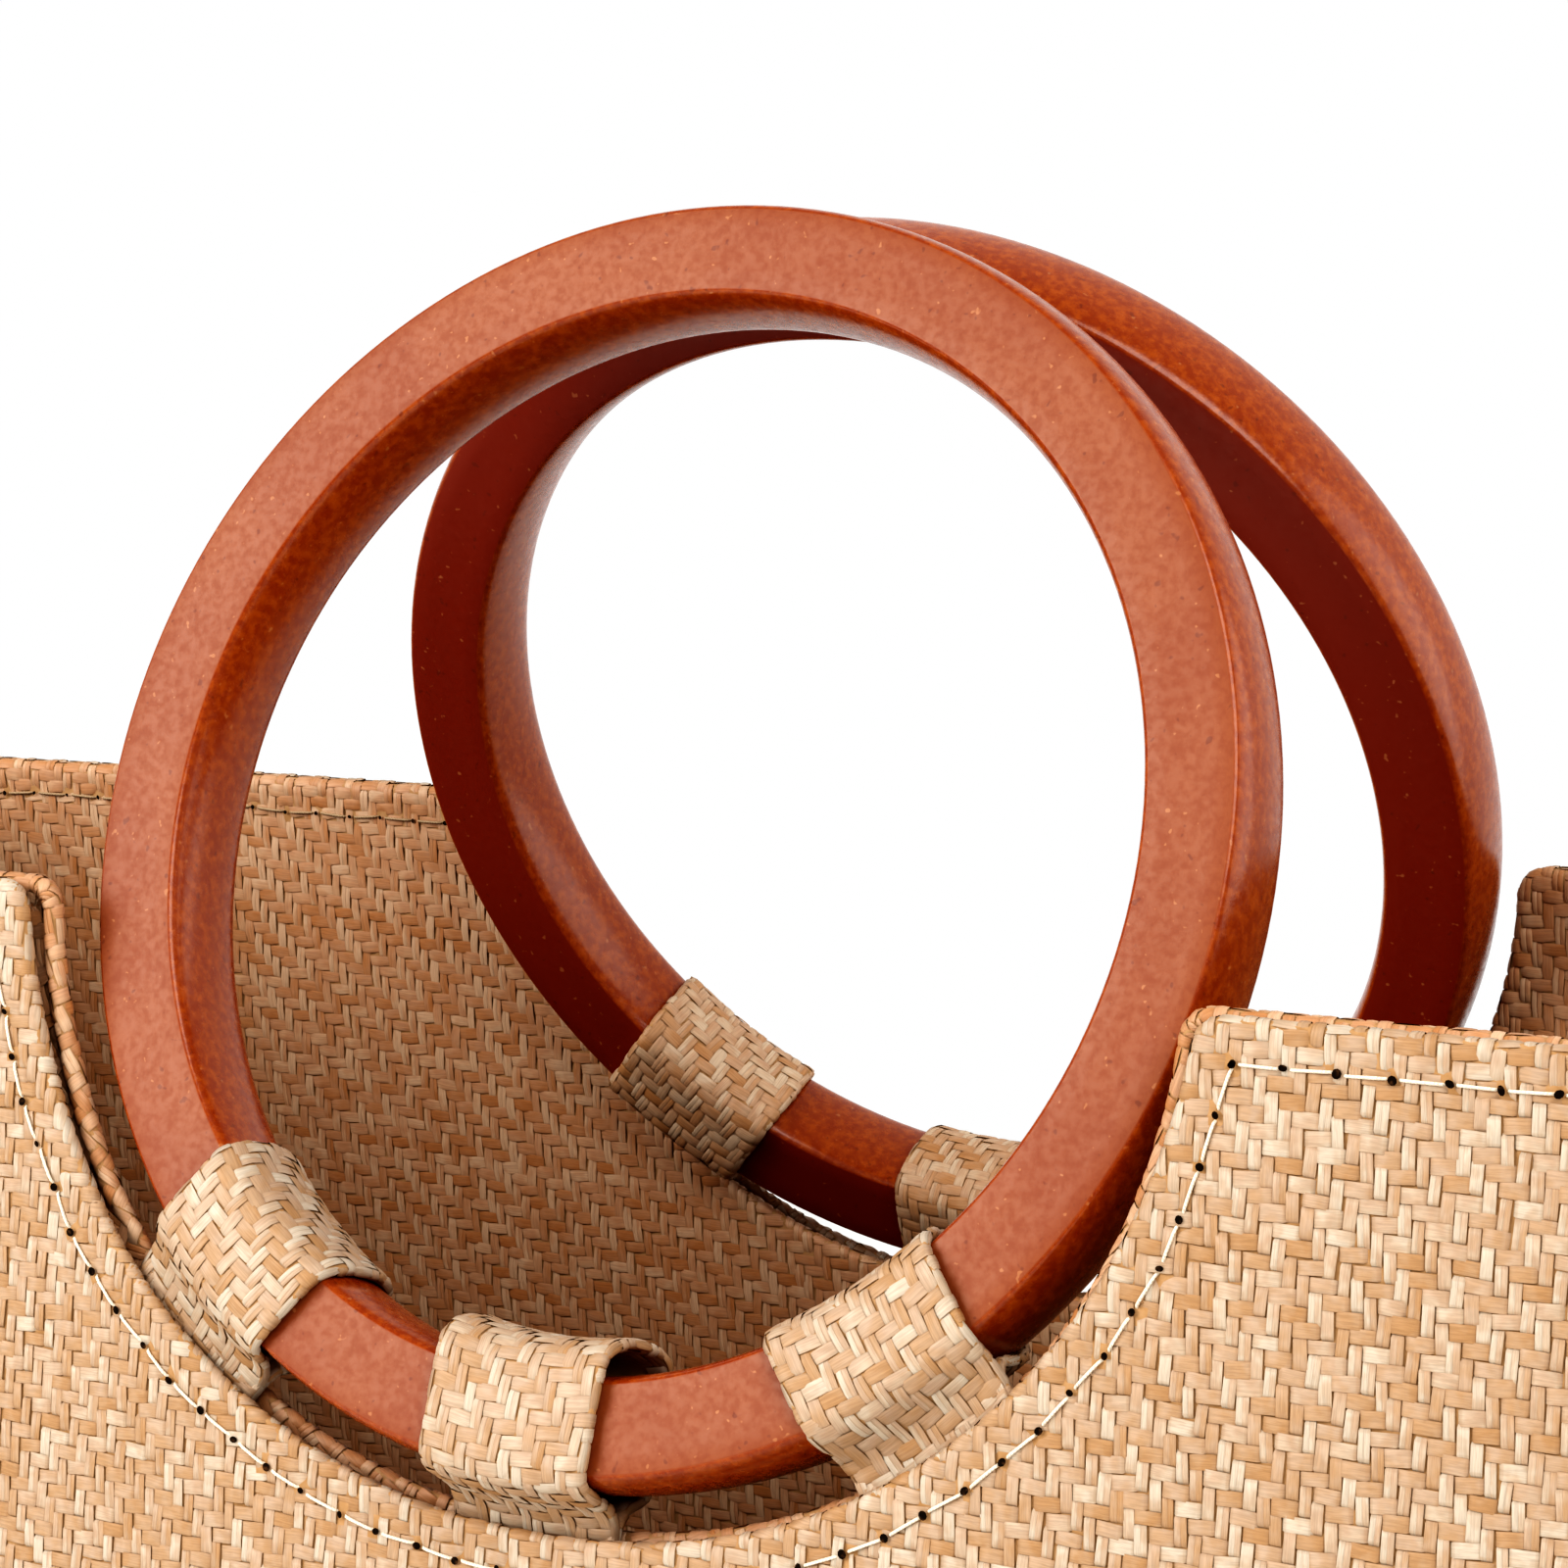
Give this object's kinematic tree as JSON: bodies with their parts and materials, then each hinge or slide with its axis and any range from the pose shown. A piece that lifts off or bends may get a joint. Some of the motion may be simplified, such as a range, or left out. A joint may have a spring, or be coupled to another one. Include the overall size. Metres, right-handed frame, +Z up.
{
  "type": "straw tote bag",
  "caption": "Open straw tote bag on a flat base, with notched double walls, folded side gussets and wooden ring handles held by straw tabs.",
  "frame": {"origin": "on the surface that the bag stands on, under the middle of its box", "axes": "+Z up, +X along the bag's width, -Y towards the front wall"},
  "size_m": [0.39, 0.1455, 0.3617],
  "materials": {
    "straw": "twill woven straw strips, cream to tan, with a slight sheen",
    "ring_wood": "red-brown stain, satin flat faces and glossier rounded sides"
  },
  "bodies": {
    "bag": {"base": "straw", "gusset_left": "straw", "gusset_right": "straw", "front_panel": "straw", "front_facing": "straw", "back_panel": "straw", "back_facing": "straw", "front_tab_left": "straw", "front_tab_middle": "straw", "front_tab_right": "straw", "back_tab_left": "straw", "back_tab_middle": "straw", "back_tab_right": "straw"},
    "front_handle": {"front_ring": "ring_wood"},
    "back_handle": {"back_ring": "ring_wood"}
  },
  "joints": [
    {"name": "front_ring_turn", "type": "hinge", "parent": "bag", "child": "front_handle", "pos_m": [0, -0.034, 0.29], "axis": [0, 0.9397, -0.342], "continuous": true},
    {"name": "back_ring_turn", "type": "hinge", "parent": "bag", "child": "back_handle", "pos_m": [0, 0.034, 0.29], "axis": [-0.0193, 0.9223, 0.3859], "continuous": true}
  ]
}
